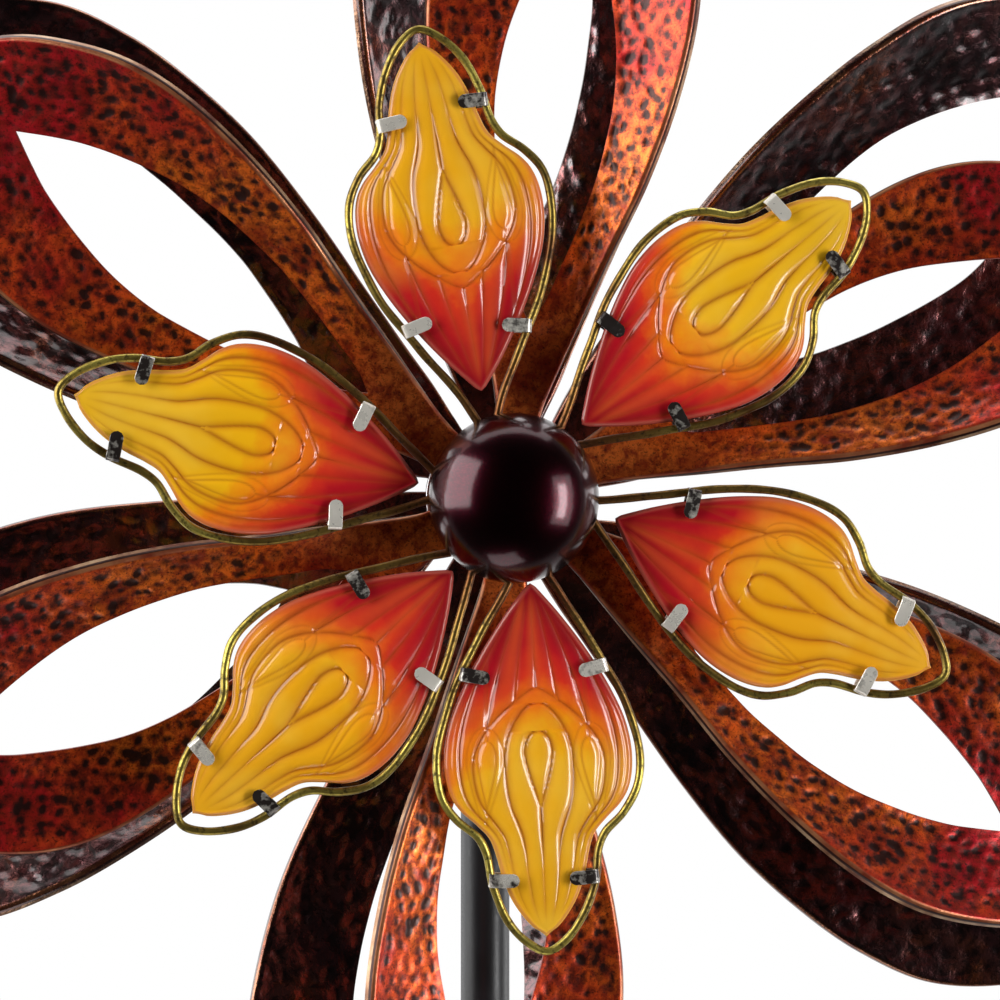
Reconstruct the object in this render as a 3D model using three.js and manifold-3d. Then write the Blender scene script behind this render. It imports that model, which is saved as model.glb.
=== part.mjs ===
// Kinetic wind sculpture: two counter-turning rotors of hammered metal loops on one axle, six glass
// petals in wire frames on the front rotor, and a three-piece pole on a two-pronged ground fork.
// Millimetres, +Z up. The origin is the centre of the underside of the fork's step bar, at ground
// level under the pole. The rotors turn about an axle along Y, and their front faces -Y.
import * as THREE from "three";
import { mergeVertices } from "three/addons/utils/BufferGeometryUtils.js";
import Module from "manifold-3d";

const wasm = await Module();
wasm.setup();

// ---- driving dimensions -----------------------------------------------------------------------
const GAP = 0.3; // between pieces that touch
const AXLE_HEIGHT = 1400; // axle above the ground
const AXLE_RADIUS = 4;

const SHEET = 1.2; // thickness of the loops' metal
const LIP = 4; // height of the edge folded back round each loop
const ROOT_RADIUS = 16; // the loops start this far from the axle
const TWIST_START = 28; // the loops are flat on the hub up to here
const TWIST_END = 90; // and fully pitched and dished from here outwards

// Loops: half-widths across the loop at distances from the axle, outer edge and opening.
// Each loop is set by hand, so the six bearings (degrees, anticlockwise from +X as seen from the
// front) are not quite even.
const FRONT_LOOP = {
  bearings: [23, 83.3, 143.5, 204.5, 267.5, 326.5],
  offset: 0, // how far the loops' middle lines pass to one side of the axle
  outline: [[16, 7.4], [31, 8.2], [50, 13.2], [68, 19], [94, 28.4], [120, 38.2], [150, 46.2],
    [180, 50], [205, 47.5], [229, 37.5], [246, 25.5], [266, 1.8]],
  opening: [[64, 0], [72, 4.6], [84, 8.8], [98, 13.4], [116, 18.4], [130, 20.8], [146, 22.3],
    [165, 21.3], [183, 17.4], [200, 11.8], [211, 6.6], [223, 0]],
  pitch: -20, // degrees about the loop's own length, clockwise side towards the front
  dish: 11 / 50 ** 2, // rise of the edges per square of their distance from the middle
};
const REAR_LOOP = {
  bearings: [35.6, 89.9, 148.2, 206.1, 264.8, 328.6],
  offset: -4,
  outline: [[16, 6.6], [30, 13.4], [43, 19.8], [55, 25], [86, 39], [117, 51.5], [150, 62],
    [182, 67.5], [210, 69], [240, 65], [268, 50], [290, 28], [305, 1.8]],
  opening: [[86, 0], [96, 7.4], [112, 15.6], [131, 23], [152, 28.4], [175, 32], [197, 33],
    [220, 28], [242, 18.6], [258, 9], [272, 0]],
  pitch: 20,
  dish: 18 / 69 ** 2,
};

// Petals: half-widths of the glass along its length, and of the wire that goes round it.
const GLASS_OUTLINE = [[31, 0.8], [35, 4.2], [42, 9.8], [51, 16.2], [61, 22.5], [71, 27.8], [81, 31.9],
  [91, 33.9], [100, 33.8], [107, 32], [112, 28.8], [117, 23.6], [122, 19.2], [128, 17], [136, 15.1],
  [145, 11.8], [153, 6.5], [158.5, 0.8]];
const GLASS_THICKNESS = 6; // in the middle
const GLASS_RIM = 3; // at the edge
const GLASS_CROWN = 0.6; // share of the half-width that is at full thickness
const WIRE_OUTLINE = [[30, 7.4], [50, 19.4], [72, 31], [92, 36.6], [106, 35.6], [115, 30.2], [122, 23],
  [128, 20.3], [140, 18.4], [151, 14.2], [160, 7.2]];
const WIRE_TIP = 164;
const WIRE_RADIUS = 1.5;
const WIRE_SPREAD = 0.6; // how fast the wire's two ends part as they leave the hub
// Each petal is set by hand too: its bearing, how far it is pushed out from the hub, and how far
// its middle line passes to one side of the axle. Its clips are given by their distances along it,
// two near the hub and two near the tip, the anticlockwise side first. A slip is how far the glass
// has moved inside its wire.
const PETALS = [
  { bearing: 39.7, reach: 5, offset: 4.5, clips: [60.8, 58.6, 135.5, 139.1] },
  { bearing: 100.2, reach: 8, offset: 4.2, clips: [57.6, 52, 131.8, 135.1], slip: [1, 0.4] },
  { bearing: 165.7, reach: 3.5, offset: 3.2, clips: [56.2, 55.2, 139.4, 136.1] },
  { bearing: 222.8, reach: 3, offset: 4.5, clips: [62.9, 58.3, 136.4, 140.7] },
  { bearing: 272.7, reach: 0, offset: 4.5, clips: [61.4, 62.4, 137.4, 137.2] },
  { bearing: 334.8, reach: 5.5, offset: 9, clips: [52.8, 64.8, 140.2, 138.4] },
];
const CLIP = { width: 5, length: 10.5, thickness: 0.8, web: 1.4 };
const CLIP_TILTS = [12, 12, 3, 3]; // degrees that each clip leans from square to the petal's length

// Stack along the axle, as distances forward of the pole's middle line.
const BOSS_FRONT = 16;
const HUB_LENGTH = 15.6; // barrel and plate together
const PLATE_RADIUS = 27;
const PLATE_THICKNESS = 2.6;
const BARREL_RADIUS = 11;
const REAR_HUB = 43;
const FRONT_HUB = 97;
const BEARING = { inner: AXLE_RADIUS + GAP, outer: 8, width: 5 };
const CLAMP = { inner: 14, thickness: 2 }; // ring in front of the loops' roots
const STUD = { rings: [19.5, 25], radius: 1.5, head: 2.6, rise: 1.2 }; // two through each root
const PETAL_HUB = { back: 132, thickness: 4, radius: 24 };
const DOME = { back: 136.3, radius: 30.7, height: 24, wall: 2, boss: 6 };
const DOME_SCREW = { radius: 2.5, headRadius: 4.5, headHeight: 3, depth: 8 };
const STANDOFF = { ring: 20, radius: 2.8, bearings: [55, 175, 295] };
const STANDOFF_SCREW = { radius: 1.4, headRadius: 2.6, headHeight: 1.9, depth: 5 };
const AXLE_END = 122;
const HEX = { radius: 7.4, boltHead: 5.5, nut: 6.3 }; // bolt head and locknut of the axle
const SPACER = { rear: 7, middle: 6 }; // outer radii
const WASHER = { radius: 7.2, thickness: 1.4 };

// Pole and ground fork.
const POLE_RADIUS = 9.5;
const POLE_BORE = 8.5;
const POLE_JOINTS = [5.3, 470, 935, 1388]; // ends of the three pole sections, above the step bar
const NECK_LENGTH = 50; // reduced end that goes up into the next section
const SHOULDER = 3; // length of the cone between the two diameters
const HEAD = { radius: 12.5, bottom: 1350, rim: 1406, crown: 1414, shoulder: 8, boss: 10 };
const SET_SCREW = { radius: 3, height: 1365, rise: 3 };
const STEP = { length: 170, width: 20, thickness: 5 };
const PRONG = { spacing: 58, radius: 4, depth: 200, point: 30 };
const SPIGOT_HEIGHT = 90;

// ---- materials --------------------------------------------------------------------------------
const metal = (color, roughness) => new THREE.MeshStandardMaterial({ color, roughness, metalness: 1 });
const MATERIALS = {
  orange: metal(0xa8431f, 0.38),
  brown: metal(0x3d2b2a, 0.42),
  brass: metal(0x9c7a2c, 0.35),
  steel: metal(0xb9bcc0, 0.3),
  dark: metal(0x26282b, 0.5),
  glass: new THREE.MeshStandardMaterial({ color: 0xd8801c, roughness: 0.12, metalness: 0 }),
  burgundy: new THREE.MeshStandardMaterial({ color: 0x3a0d14, roughness: 0.15, metalness: 0.2 }),
};

// ---- solids -----------------------------------------------------------------------------------
function toSolid(geometry) {
  const bare = geometry.clone();
  bare.deleteAttribute("normal");
  bare.deleteAttribute("uv");
  const merged = mergeVertices(bare, 1e-4);
  return new wasm.Manifold(new wasm.Mesh({
    numProp: 3,
    vertProperties: merged.attributes.position.array,
    triVerts: new Uint32Array(merged.index.array),
  }));
}

function toGeometry(solid) {
  const mesh = solid.getMesh();
  const geometry = new THREE.BufferGeometry();
  geometry.setAttribute("position", new THREE.BufferAttribute(mesh.vertProperties, 3));
  geometry.setIndex(new THREE.BufferAttribute(mesh.triVerts, 1));
  geometry.computeVertexNormals();
  return geometry;
}

function join(...geometries) {
  return toGeometry(geometries.map(toSolid).reduce((whole, piece) => whole.add(piece)));
}

function cut(geometry, ...cutters) {
  const whole = toSolid(geometry);
  return toGeometry(cutters.map(toSolid).reduce((rest, cutter) => rest.subtract(cutter), whole));
}

// Solid turned about Z from [radius, height] points. On the axle, Z is the way to the front.
function turned(profile, sides) {
  const points = profile.map(([radius, along]) => new THREE.Vector2(radius, along));
  return new THREE.LatheGeometry(points, sides).rotateX(Math.PI / 2);
}

function ring(inner, outer, back, front, sides) {
  return turned([[inner, front], [inner, back], [outer, back], [outer, front], [inner, front]], sides);
}

function rod(radius, back, front, sides) {
  return turned([[0, back], [radius, back], [radius, front], [0, front]], sides);
}

function polygonShape(radius, sides) {
  const turn = (2 * Math.PI) / sides;
  return new THREE.Shape(Array.from({ length: sides }, (_, i) =>
    new THREE.Vector2(radius * Math.cos(turn * i), radius * Math.sin(turn * i))));
}

// Places a copy of a geometry at a distance out along a bearing, and to one side of it.
function around(geometry, distance, bearing, sideways = 0) {
  return geometry.clone().translate(distance, sideways, 0).rotateZ(THREE.MathUtils.degToRad(bearing));
}

// ---- curves -----------------------------------------------------------------------------------
// Smooth curve through [position, value] pairs, read at one position.
function valueAt(pairs, position) {
  const last = pairs.length - 1;
  const slope = (i) => {
    const [before, after] = [pairs[Math.max(i - 1, 0)], pairs[Math.min(i + 1, last)]];
    return (after[1] - before[1]) / (after[0] - before[0]);
  };
  const i = Math.max(0, pairs.findLastIndex((pair, k) => k < last && pair[0] <= position));
  const span = pairs[i + 1][0] - pairs[i][0];
  const t = THREE.MathUtils.clamp((position - pairs[i][0]) / span, 0, 1);
  const rise = pairs[i][1] * (1 - t) ** 2 * (1 + 2 * t) + pairs[i + 1][1] * t ** 2 * (3 - 2 * t);
  return rise + span * t * (1 - t) * (slope(i) * (1 - t) - slope(i + 1) * t);
}

function evenly(from, to, steps) {
  return Array.from({ length: steps }, (_, i) => from + ((to - from) * i) / steps);
}

// ---- loops ------------------------------------------------------------------------------------
// One station of a loop: front and back points from one folded edge across to the other, where
// the middle two are the edges of the opening and meet where the loop has none.
function loopStation(loop, along) {
  const twist = THREE.MathUtils.smoothstep(along, TWIST_START, TWIST_END);
  const pitch = THREE.MathUtils.degToRad(loop.pitch) * twist;
  const [start, end] = [loop.opening[0][0], loop.opening.at(-1)[0]];
  const outer = valueAt(loop.outline, along);
  const inner = along > start && along < end ? valueAt(loop.opening, along) : 0;
  const folded = THREE.MathUtils.smoothstep(along, TWIST_START, TWIST_START + 2 * LIP);
  const lip = THREE.MathUtils.lerp(SHEET, LIP, folded);
  const place = (across, forward) => new THREE.Vector3(
    along,
    across * Math.cos(pitch) - forward * Math.sin(pitch),
    across * Math.sin(pitch) + forward * Math.cos(pitch),
  );
  const side = (sign) => {
    const steep = 2 * loop.dish * twist * outer;
    const length = Math.hypot(1, steep);
    const outward = [sign / length, steep / length];
    const back = [(sign * steep) / length, -1 / length];
    const edge = [sign * outer, loop.dish * twist * outer ** 2];
    const at = (out, down) => place(
      edge[0] + outward[0] * out + back[0] * down,
      edge[1] + outward[1] * out + back[1] * down,
    );
    const rise = loop.dish * twist * inner ** 2;
    return {
      front: [at(0, lip), at(0, 0), place(sign * inner, rise)],
      back: [at(-SHEET, lip), at(-SHEET, SHEET), place(sign * inner, rise - SHEET)],
    };
  };
  const [low, high] = [side(-1), side(1)];
  return {
    open: inner > 0,
    front: [...low.front, ...high.front.reverse()],
    back: [...low.back, ...high.back.reverse()],
  };
}

function loopGeometry(loop) {
  const [start, end, tip] = [loop.opening[0][0], loop.opening.at(-1)[0], loop.outline.at(-1)[0]];
  const places = [ROOT_RADIUS, ...evenly(TWIST_START, start, 3), ...evenly(start, end, 9),
    ...evenly(end, tip, 3), tip];
  const stations = places.map((along) => loopStation(loop, along));
  const corners = [];
  const triangle = (...points) => {
    const same = points.some((point, i) => point.distanceTo(points[(i + 1) % 3]) < 1e-4);
    if (!same) corners.push(...points);
  };
  const quad = (a, b, c, d) => {
    triangle(a, b, c);
    triangle(a, c, d);
  };
  const strips = [0, 1, 3, 4];
  stations.slice(1).forEach((far, i) => {
    const near = stations[i];
    for (const k of strips) {
      quad(near.front[k], far.front[k], far.front[k + 1], near.front[k + 1]);
      quad(near.back[k + 1], far.back[k + 1], far.back[k], near.back[k]);
    }
    quad(near.back[0], far.back[0], far.front[0], near.front[0]);
    quad(near.front[5], far.front[5], far.back[5], near.back[5]);
    if (near.open || far.open) {
      quad(near.front[2], far.front[2], far.back[2], near.back[2]);
      quad(near.back[3], far.back[3], far.front[3], near.front[3]);
    }
  });
  const [first, last] = [stations[0], stations.at(-1)];
  for (const k of strips) {
    quad(first.front[k], first.front[k + 1], first.back[k + 1], first.back[k]);
    quad(last.front[k + 1], last.front[k], last.back[k], last.back[k + 1]);
  }
  const sheet = new THREE.BufferGeometry().setFromPoints(corners);
  const hole = rod(STUD.radius + GAP, -3 * SHEET, SHEET, 6);
  return cut(sheet, ...STUD.rings.map((distance) => around(hole, distance, 0)));
}

// ---- petals -----------------------------------------------------------------------------------
// Solid through sections with the same number of points, closed flat at both ends. Each section
// runs anticlockwise as seen from the far end.
function lofted(sections) {
  const corners = [];
  const count = sections[0].length;
  sections.slice(1).forEach((far, i) => {
    const near = sections[i];
    near.forEach((point, k) => {
      const next = (k + 1) % count;
      corners.push(point, near[next], far[next], point, far[next], far[k]);
    });
  });
  const [first, last] = [sections[0], sections.at(-1)];
  for (let k = 1; k < count - 1; k += 1) {
    corners.push(first[0], first[k + 1], first[k], last[0], last[k], last[k + 1]);
  }
  return new THREE.BufferGeometry().setFromPoints(corners);
}

// A crowned slab, thinner and blunt at its rim.
function glassGeometry() {
  return lofted(GLASS_OUTLINE.map(([along, half]) => {
    const thin = Math.min(1, 0.25 + half / 8);
    const [rim, crown] = [(thin * GLASS_RIM) / 2, (thin * GLASS_THICKNESS) / 2];
    const corner = (across, forward) => new THREE.Vector3(along, across * half, forward);
    return [
      corner(1, -rim), corner(1, rim), corner(GLASS_CROWN, crown), corner(-GLASS_CROWN, crown),
      corner(-1, rim), corner(-1, -rim), corner(-GLASS_CROWN, -crown), corner(GLASS_CROWN, -crown),
    ];
  }));
}

// Half-width of the wire's run of straight lines at a distance along the petal.
function wireHalfWidth(along) {
  const next = WIRE_OUTLINE.findIndex(([distance]) => distance > along);
  const [[a0, b0], [a1, b1]] = [WIRE_OUTLINE[next - 1], WIRE_OUTLINE[next]];
  return b0 + ((b1 - b0) * (along - a0)) / (a1 - a0);
}

// A bent strip that holds the glass at front and back, welded to the wire at its open side.
function clipGeometry(along, side, tilt) {
  const { width, length, thickness, web } = CLIP;
  const near = GLASS_THICKNESS / 2 + GAP;
  const far = near + thickness;
  const outline = [[0, -far], [length, -far], [length, -near], [web, -near],
    [web, near], [length, near], [length, far], [0, far]];
  const shape = new THREE.Shape(outline.map(([x, y]) => new THREE.Vector2(x, y)));
  return new THREE.ExtrudeGeometry(shape, { depth: width, bevelEnabled: false })
    .translate(0, 0, -width / 2)
    .rotateX(Math.PI / 2)
    .rotateZ(THREE.MathUtils.degToRad(side * (tilt - 90)))
    .translate(along, side * (wireHalfWidth(along) + web / 2), 0);
}

// The wire loop, both its ends at the hub's rim, with its four clips welded on.
function frameGeometry(reach, clips) {
  const [first, half] = WIRE_OUTLINE[0];
  const start = PETAL_HUB.radius + WIRE_RADIUS - reach;
  const apart = half - WIRE_SPREAD * (first - start);
  const rim = [start, THREE.MathUtils.clamp(apart, WIRE_RADIUS + GAP, half)];
  const sideOut = [rim, ...WIRE_OUTLINE].map(([a, b]) => new THREE.Vector3(a, b, 0));
  const sideBack = sideOut.map((point) => new THREE.Vector3(point.x, -point.y, 0)).reverse();
  const tip = new THREE.Vector3(WIRE_TIP, 0, 0);
  const wire = new THREE.ExtrudeGeometry(polygonShape(WIRE_RADIUS, 6), {
    steps: 32,
    extrudePath: new THREE.CatmullRomCurve3([...sideOut, tip, ...sideBack]),
  });
  return join(wire, ...clips.map((along, i) => clipGeometry(along, i % 2 ? -1 : 1, CLIP_TILTS[i])));
}

// ---- hubs -------------------------------------------------------------------------------------
function hubGeometry(back, loop) {
  const front = back + HUB_LENGTH;
  const plate = front - PLATE_THICKNESS;
  const bore = BEARING.outer + GAP;
  const body = turned([[bore, front], [bore, back], [BARREL_RADIUS, back], [BARREL_RADIUS, plate],
    [PLATE_RADIUS, plate], [PLATE_RADIUS, front], [bore, front]], 18);
  const hole = rod(STUD.radius + GAP, plate - 1, front + 1, 6);
  return cut(body, ...studPlaces(hole, loop));
}

function studPlaces(geometry, loop) {
  return loop.bearings.flatMap((bearing) => STUD.rings.map((distance) =>
    around(geometry, distance, bearing, loop.offset)));
}

// Ring in front of the loops' roots, with studs that go through them and the hub plate and are
// spread into low heads behind it.
function clampGeometry(hubBack, loop) {
  const tail = hubBack + HUB_LENGTH - PLATE_THICKNESS - GAP;
  const back = hubBack + HUB_LENGTH + 2 * GAP + SHEET;
  const middle = back + CLAMP.thickness / 2;
  const stud = turned([[0, tail - STUD.rise], [STUD.head, tail], [STUD.radius, tail],
    [STUD.radius, middle], [0, middle]], 6);
  const body = ring(CLAMP.inner, PLATE_RADIUS, back, back + CLAMP.thickness, 18);
  return join(body, ...studPlaces(stud, loop));
}

function petalHubGeometry() {
  const { back, thickness, radius } = PETAL_HUB;
  const disc = ring(DOME_SCREW.radius + GAP, radius, back, back + thickness, 30);
  const hole = rod(STANDOFF_SCREW.radius + GAP, back - 1, back + thickness + 1, 8);
  return cut(disc, ...STANDOFF.bearings.map((bearing) => around(hole, STANDOFF.ring, bearing)));
}

// Dome cap, open behind, with a bored boss in its middle for its screw.
function domeGeometry() {
  const { back, radius, height, wall, boss } = DOME;
  const bore = DOME_SCREW.radius + GAP;
  const depth = DOME_SCREW.depth + 1;
  const nearTop = 0.9 * (Math.PI / 2);
  const arc = (r, h, steps, from, to) => [...evenly(from, to, steps), to].map((turn) =>
    [r * Math.cos(turn), back + h * Math.sin(turn)]);
  return turned([
    [0, back + depth],
    [bore, back + depth],
    [bore, back],
    [boss, back],
    ...arc(radius - wall, height - wall, 3, Math.acos(boss / (radius - wall)), 0),
    ...arc(radius, height, 5, 0, nearTop),
    [0, back + height],
  ], 24);
}

// Screw with its head's underside at one place on the axle and its point at another.
function screwGeometry({ radius, headRadius, headHeight }, seat, point) {
  const way = Math.sign(point - seat);
  const head = rod(headRadius, ...[seat, seat - way * headHeight].sort((a, b) => a - b), 8);
  const shank = rod(radius, ...[seat - way, point].sort((a, b) => a - b), 8);
  return join(head, shank);
}

// ---- pole and fork ----------------------------------------------------------------------------
// Tube from bottom to top, where a section with a neck narrows to slip inside the one above it.
function poleSection(bottom, top, neck) {
  const wall = POLE_RADIUS - POLE_BORE;
  const slim = POLE_BORE - GAP;
  const end = top - GAP;
  const plain = [[POLE_RADIUS, end], [POLE_BORE, end]];
  const necked = [
    [POLE_RADIUS, end - SHOULDER],
    [slim, end],
    [slim, end + NECK_LENGTH],
    [slim - wall, end + NECK_LENGTH],
    [slim - wall, end - wall],
    [POLE_BORE, end - wall - SHOULDER],
  ];
  const foot = [POLE_BORE, bottom];
  return turned([foot, [POLE_RADIUS, bottom], ...(neck ? necked : plain), foot], 20);
}

// Sleeve closed by a low cone over the pole's end, with a cross boss for the axle.
function poleHeadGeometry() {
  const up = (geometry) => geometry.clone().rotateX(-Math.PI / 2);
  const [low, rim, crown] = [HEAD.bottom, HEAD.rim, HEAD.crown].map((height) => height - AXLE_HEIGHT);
  const outline = [[0, low], [HEAD.radius, low], [HEAD.radius, rim], [HEAD.shoulder, crown - 2], [0, crown]];
  const boss = rod(HEAD.boss, -BOSS_FRONT, BOSS_FRONT, 20);
  const socket = up(rod(POLE_RADIUS + GAP, low - 1, POLE_JOINTS.at(-1) - AXLE_HEIGHT, 24));
  const bore = rod(AXLE_RADIUS + GAP, -BOSS_FRONT - 1, BOSS_FRONT + 1, 16);
  const screwHole = rod(SET_SCREW.radius + GAP, -2 * HEAD.radius, 0, 10)
    .translate(0, SET_SCREW.height - AXLE_HEIGHT, 0);
  return cut(join(up(turned(outline, 24)), boss), socket, bore, screwHole);
}

function hexPrism(radius, back, front) {
  return new THREE.ExtrudeGeometry(polygonShape(radius, 6), { depth: front - back, bevelEnabled: false })
    .translate(0, 0, back);
}

function axleBoltGeometry() {
  const seat = -BOSS_FRONT - GAP;
  const head = hexPrism(HEX.radius, seat - HEX.boltHead, seat);
  return join(head, rod(AXLE_RADIUS, seat - 1, AXLE_END, 16));
}

function nutGeometry(back, front) {
  return cut(hexPrism(HEX.radius, back, front), rod(AXLE_RADIUS + GAP, back - 1, front + 1, 16));
}

function forkGeometry() {
  const { length, width, thickness } = STEP;
  const bar = new THREE.BoxGeometry(length, width, thickness).translate(0, 0, thickness / 2);
  const spigot = rod(POLE_BORE - GAP, thickness / 2, SPIGOT_HEIGHT, 20);
  const prong = turned([[0, -PRONG.depth], [PRONG.radius, PRONG.point - PRONG.depth],
    [PRONG.radius, thickness / 2], [0, thickness / 2]], 12);
  const prongs = [-1, 1].map((side) => prong.clone().translate(side * PRONG.spacing, 0, 0));
  return join(bar, spigot, ...prongs);
}

// ---- assembly ---------------------------------------------------------------------------------
const sculpture = new THREE.Group();

// Everything on the axle is drawn as seen from the front: x right, y up, z towards the viewer.
const axle = new THREE.Group();
axle.position.set(0, 0, AXLE_HEIGHT);
axle.rotation.x = Math.PI / 2;
sculpture.add(axle);

function add(group, name, geometry, material) {
  const mesh = new THREE.Mesh(geometry, MATERIALS[material]);
  mesh.name = name;
  group.add(mesh);
  return mesh;
}

function addLoops(prefix, loop, hubBack, material) {
  const geometry = loopGeometry(loop);
  loop.bearings.forEach((bearing, i) => {
    const mesh = add(axle, `${prefix}_loop_${i + 1}`, geometry, material);
    const turn = THREE.MathUtils.degToRad(bearing);
    const sideways = new THREE.Vector2(0, loop.offset).rotateAround(new THREE.Vector2(), turn);
    mesh.position.set(sideways.x, sideways.y, hubBack + HUB_LENGTH + GAP + SHEET);
    mesh.rotation.z = turn;
  });
}

function addHub(prefix, loop, hubBack) {
  const { inner, outer, width } = BEARING;
  const bearing = (back) => ring(inner, outer, back, back + width, 16);
  add(axle, `${prefix}_hub`, hubGeometry(hubBack, loop), "dark");
  add(axle, `${prefix}_loop_clamp`, clampGeometry(hubBack, loop), "dark");
  add(axle, `${prefix}_bearing_back`, bearing(hubBack + GAP), "steel");
  add(axle, `${prefix}_bearing_front`, bearing(hubBack + HUB_LENGTH - GAP - width), "steel");
}

function addPetals() {
  const glass = glassGeometry();
  PETALS.forEach(({ bearing, reach, offset, clips, slip = [0, 0] }, i) => {
    const petal = new THREE.Group();
    petal.rotation.z = THREE.MathUtils.degToRad(bearing);
    petal.position.z = PETAL_HUB.back + PETAL_HUB.thickness / 2;
    axle.add(petal);
    const frame = add(petal, `petal_frame_${i + 1}`, frameGeometry(reach, clips), "brass");
    frame.position.set(reach, offset, 0);
    const slab = add(petal, `glass_petal_${i + 1}`, glass, "glass");
    slab.position.set(reach + slip[0], offset + slip[1], 0);
  });
}

function addFrontCentre() {
  const postBack = FRONT_HUB + HUB_LENGTH + 3 * GAP + SHEET + CLAMP.thickness;
  const post = ring(STANDOFF_SCREW.radius + GAP, STANDOFF.radius, postBack, PETAL_HUB.back - GAP, 8);
  const screwSeat = PETAL_HUB.back + PETAL_HUB.thickness + GAP;
  const screw = screwGeometry(STANDOFF_SCREW, screwSeat, PETAL_HUB.back - STANDOFF_SCREW.depth);
  STANDOFF.bearings.forEach((bearing, i) => {
    add(axle, `petal_hub_standoff_${i + 1}`, around(post, STANDOFF.ring, bearing), "steel");
    add(axle, `petal_hub_screw_${i + 1}`, around(screw, STANDOFF.ring, bearing), "steel");
  });
  const domeScrew = screwGeometry(DOME_SCREW, PETAL_HUB.back - GAP, DOME.back + DOME_SCREW.depth);
  add(axle, "petal_hub", petalHubGeometry(), "dark");
  add(axle, "hub_dome", domeGeometry(), "burgundy");
  add(axle, "dome_screw", domeScrew, "steel");
}

function addAxle() {
  const bore = AXLE_RADIUS + GAP;
  const rearSeat = REAR_HUB + HUB_LENGTH;
  const frontSeat = FRONT_HUB + HUB_LENGTH;
  const nutBack = frontSeat + WASHER.thickness + GAP;
  const washer = ring(bore, WASHER.radius, frontSeat, frontSeat + WASHER.thickness, 16);
  add(axle, "axle_bolt", axleBoltGeometry(), "steel");
  add(axle, "rear_spacer", ring(bore, SPACER.rear, BOSS_FRONT + GAP, REAR_HUB, 16), "dark");
  add(axle, "middle_spacer", ring(bore, SPACER.middle, rearSeat, FRONT_HUB, 16), "dark");
  add(axle, "axle_washer", washer, "steel");
  add(axle, "axle_locknut", nutGeometry(nutBack, nutBack + HEX.nut), "steel");
}

function addStand() {
  const screw = rod(SET_SCREW.radius, -HEAD.radius - SET_SCREW.rise, -POLE_RADIUS - GAP, 10)
    .translate(0, SET_SCREW.height - AXLE_HEIGHT, 0);
  const [ground, low, high, top] = POLE_JOINTS;
  add(axle, "pole_head", poleHeadGeometry(), "dark");
  add(axle, "pole_head_screw", screw, "steel");
  add(sculpture, "lower_pole", poleSection(ground, low, true), "dark");
  add(sculpture, "middle_pole", poleSection(low, high, true), "dark");
  add(sculpture, "upper_pole", poleSection(high, top, false), "dark");
  add(sculpture, "ground_fork", forkGeometry(), "dark");
}

addLoops("rear", REAR_LOOP, REAR_HUB, "brown");
addLoops("front", FRONT_LOOP, FRONT_HUB, "orange");
addHub("rear", REAR_LOOP, REAR_HUB);
addHub("front", FRONT_LOOP, FRONT_HUB);
addPetals();
addFrontCentre();
addAxle();
addStand();

export default sculpture;
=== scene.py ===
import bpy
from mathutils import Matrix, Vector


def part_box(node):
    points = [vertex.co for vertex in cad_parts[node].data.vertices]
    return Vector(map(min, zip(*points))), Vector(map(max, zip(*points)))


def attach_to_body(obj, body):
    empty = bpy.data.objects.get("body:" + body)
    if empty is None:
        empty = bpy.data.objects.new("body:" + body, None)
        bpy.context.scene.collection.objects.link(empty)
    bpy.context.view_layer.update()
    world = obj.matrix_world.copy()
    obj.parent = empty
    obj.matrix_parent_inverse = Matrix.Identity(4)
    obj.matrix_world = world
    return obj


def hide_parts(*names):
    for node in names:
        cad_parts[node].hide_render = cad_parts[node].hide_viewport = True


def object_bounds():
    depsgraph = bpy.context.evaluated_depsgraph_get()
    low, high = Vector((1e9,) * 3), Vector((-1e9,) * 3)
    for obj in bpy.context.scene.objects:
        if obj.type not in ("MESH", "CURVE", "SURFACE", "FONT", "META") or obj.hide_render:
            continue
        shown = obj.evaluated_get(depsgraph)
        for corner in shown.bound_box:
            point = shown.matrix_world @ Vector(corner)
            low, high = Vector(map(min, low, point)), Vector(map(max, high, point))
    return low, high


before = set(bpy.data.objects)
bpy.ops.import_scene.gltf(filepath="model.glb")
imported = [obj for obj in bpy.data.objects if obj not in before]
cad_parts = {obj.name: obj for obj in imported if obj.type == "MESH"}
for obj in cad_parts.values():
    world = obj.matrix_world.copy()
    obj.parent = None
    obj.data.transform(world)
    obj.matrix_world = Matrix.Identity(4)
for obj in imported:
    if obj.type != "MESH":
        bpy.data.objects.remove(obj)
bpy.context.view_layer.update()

# Kinetic wind sculpture. Rotor pieces are made in millimetres in the axle's own frame: x right and
# y up as seen from the front, f forward from the pole's middle line. They go out in metres.
import math

import bmesh
import bpy
import numpy as np
from mathutils import Vector

AXLE_HEIGHT = 500 * (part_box("axle_bolt")[0][2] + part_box("axle_bolt")[1][2])
GAP = 0.3

# ---- driving dimensions, as in the CAD model ----
SHEET = 1.2
LIP = 4
FOLD = 1.7  # outer radius of the fold along each edge
FOLD_INSIDE = 0.15  # least inner radius of the fold
ROOT_RADIUS = 16
TWIST_START, TWIST_END = 28, 90
DENT_COLUMNS, DENT_ROWS = 72, 44
DENTS_START, DENTS_FULL = 58, 105
WAVE_START, WAVE_FULL = 40, 110

HUB_LENGTH = 15.6
REAR_HUB, FRONT_HUB = 43, 97
AXLE_BORE = 4.3
HUB = {"bore": 8.3, "barrel": 11, "plate": 27, "plate_thickness": 2.6, "fillet": 1.2}
STUD_DISTANCES = (19.5, 25)
STUD = {"radius": 1.5, "head": 2.6, "head_height": 1.2}
CLAMP = {"bore": 14, "thickness": 2}
BEARING = {"inner": 5.3, "outer": 6.9, "rim": 8, "length": 5, "groove": 0.4}
PETAL_HUB = {"bore": 2.8, "back": 132, "front": 136}
STANDOFF = {"bearings": (55, 175, 295), "distance": 20.0, "bore": 1.7, "radius": 2.8}
DOME = {"radius": 30.7, "height": 24, "back": 136.3, "wall": 2}

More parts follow.
